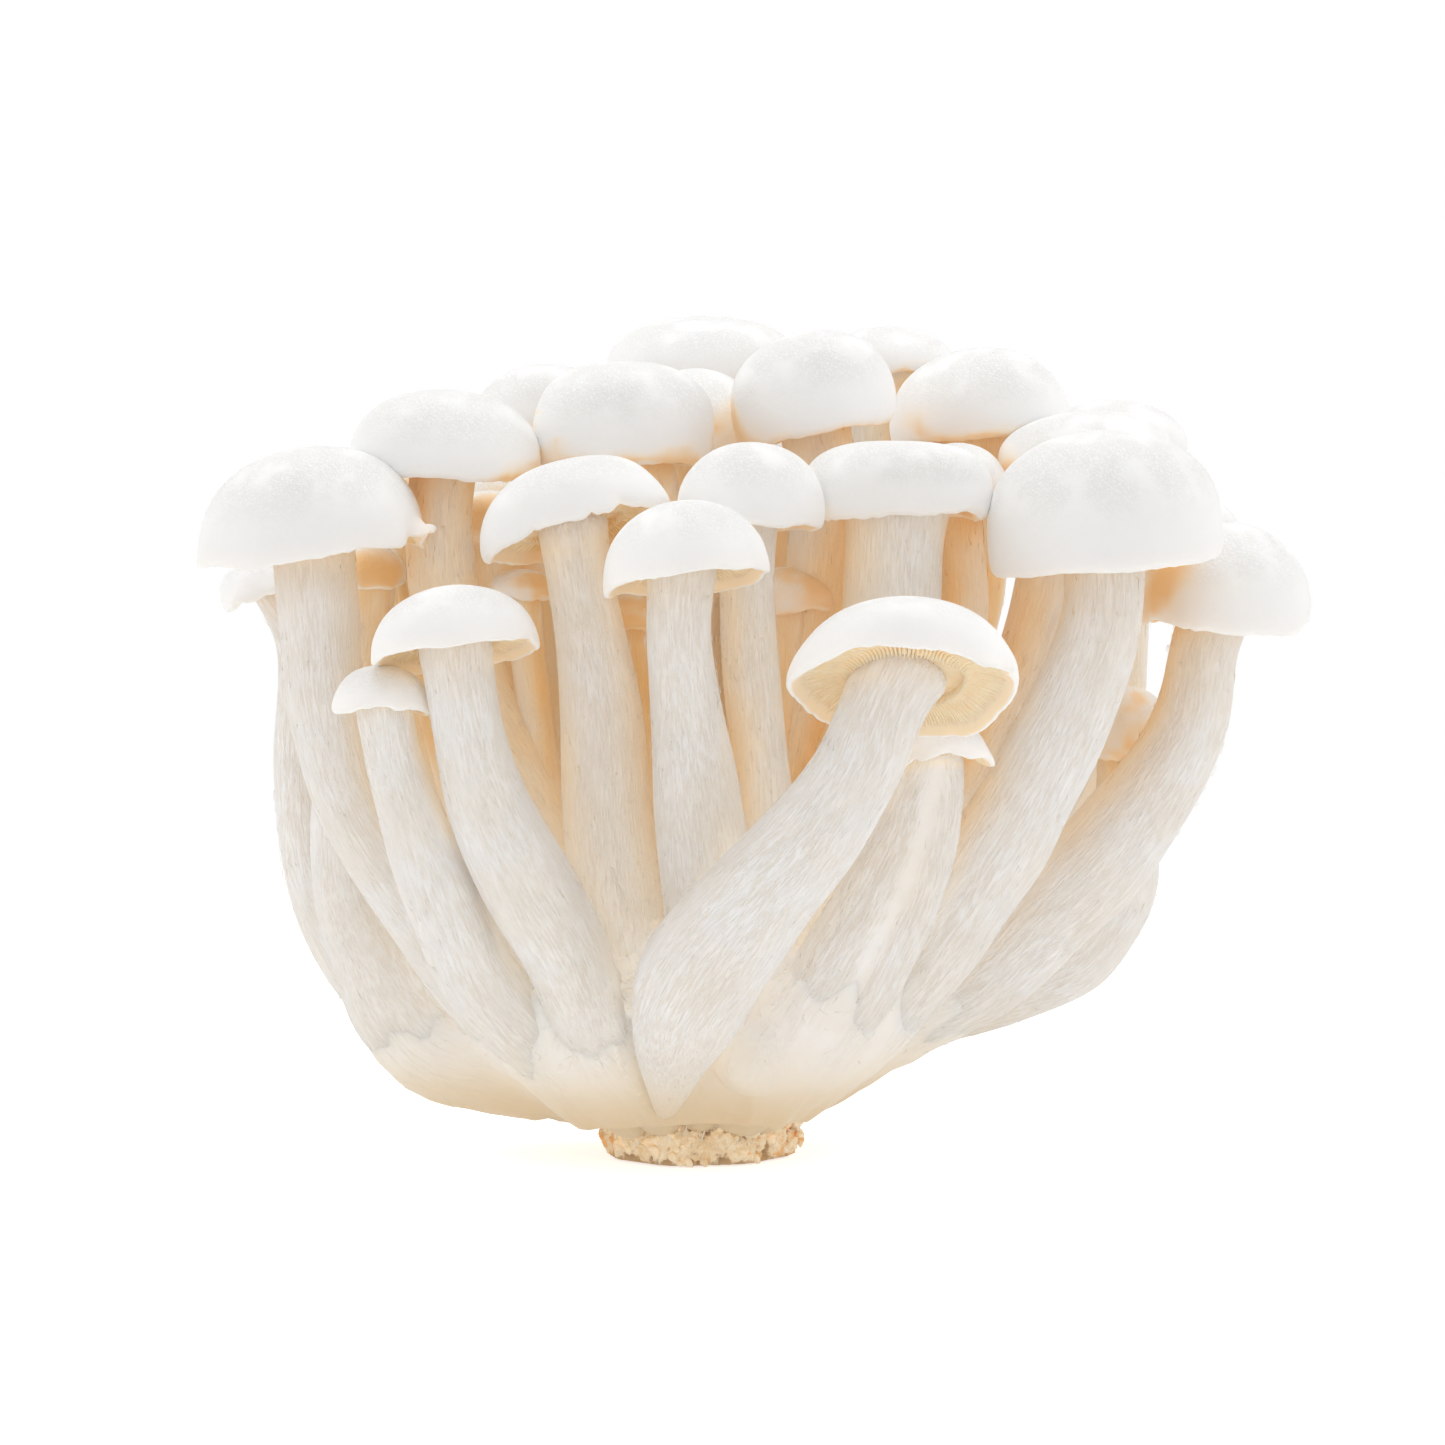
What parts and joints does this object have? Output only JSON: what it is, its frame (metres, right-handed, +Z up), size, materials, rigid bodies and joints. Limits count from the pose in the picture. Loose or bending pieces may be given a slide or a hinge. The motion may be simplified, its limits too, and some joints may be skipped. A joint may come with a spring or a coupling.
{
  "type": "white beech mushroom clump",
  "caption": "Bunch of white beech mushrooms: domed caps on tapering stems that fan out of one fused foot, cut off flat underneath.",
  "frame": {"origin": "middle of the flat cut face that the bunch rests on", "axes": "+Z up out of the cut, towards the caps; +X to the right across the front of the bunch; +Y away from the front"},
  "size_m": [0.1131, 0.0969, 0.0858],
  "materials": {
    "cap_skin": "smooth matt white skin, very finely pitted",
    "stem_flesh": "matt cream flesh with fine lengthwise fibres",
    "gill_flesh": "matt warm cream, close thin blades",
    "foot_flesh": "matt cream flesh with folds and a little down",
    "mycelium": "crumbly white and tan mycelium with brown grains"
  },
  "bodies": {
    "root": {"cap_left_outer": "cap_skin", "cap_left_upper": "cap_skin", "cap_back_left": "cap_skin", "cap_centre_left": "cap_skin", "cap_centre_gap": "cap_skin", "cap_back_crown": "cap_skin", "cap_crown": "cap_skin", "cap_back_crown_right": "cap_skin", "cap_right_upper": "cap_skin", "cap_front_left": "cap_skin", "cap_front_middle": "cap_skin", "cap_front_right": "cap_skin", "cap_broad": "cap_skin", "cap_behind_broad": "cap_skin", "cap_leaning": "cap_skin", "cap_right_large": "cap_skin", "cap_behind_right_large": "cap_skin", "cap_back_right": "cap_skin", "cap_right_outer": "cap_skin", "cap_back_right_outer": "cap_skin", "cap_low_left": "cap_skin", "cap_button_left": "cap_skin", "cap_button_right": "cap_skin", "cap_bulb_right": "cap_skin", "cap_back_left_outer": "cap_skin", "cap_bulb_left": "cap_skin", "cap_back_low_left": "cap_skin", "cap_back_middle": "cap_skin", "cap_back_low_right": "cap_skin", "stem_left_outer": "stem_flesh", "stem_left_upper": "stem_flesh", "stem_back_left": "stem_flesh", "stem_centre_left": "stem_flesh", "stem_centre_gap": "stem_flesh", "stem_back_crown": "stem_flesh", "stem_crown": "stem_flesh", "stem_back_crown_right": "stem_flesh", "stem_right_upper": "stem_flesh", "stem_front_left": "stem_flesh", "stem_front_middle": "stem_flesh", "stem_front_right": "stem_flesh", "stem_broad": "stem_flesh", "stem_behind_broad": "stem_flesh", "stem_leaning": "stem_flesh", "stem_right_large": "stem_flesh", "stem_behind_right_large": "stem_flesh", "stem_back_right": "stem_flesh", "stem_right_outer": "stem_flesh", "stem_back_right_outer": "stem_flesh", "stem_low_left": "stem_flesh", "stem_button_left": "stem_flesh", "stem_button_right": "stem_flesh", "stem_bulb_right": "stem_flesh", "stem_back_left_outer": "stem_flesh", "stem_bulb_left": "stem_flesh", "stem_back_low_left": "stem_flesh", "stem_back_middle": "stem_flesh", "stem_back_low_right": "stem_flesh", "fused_foot": "foot_flesh", "mycelium_plug": "mycelium"}
  },
  "joints": []
}
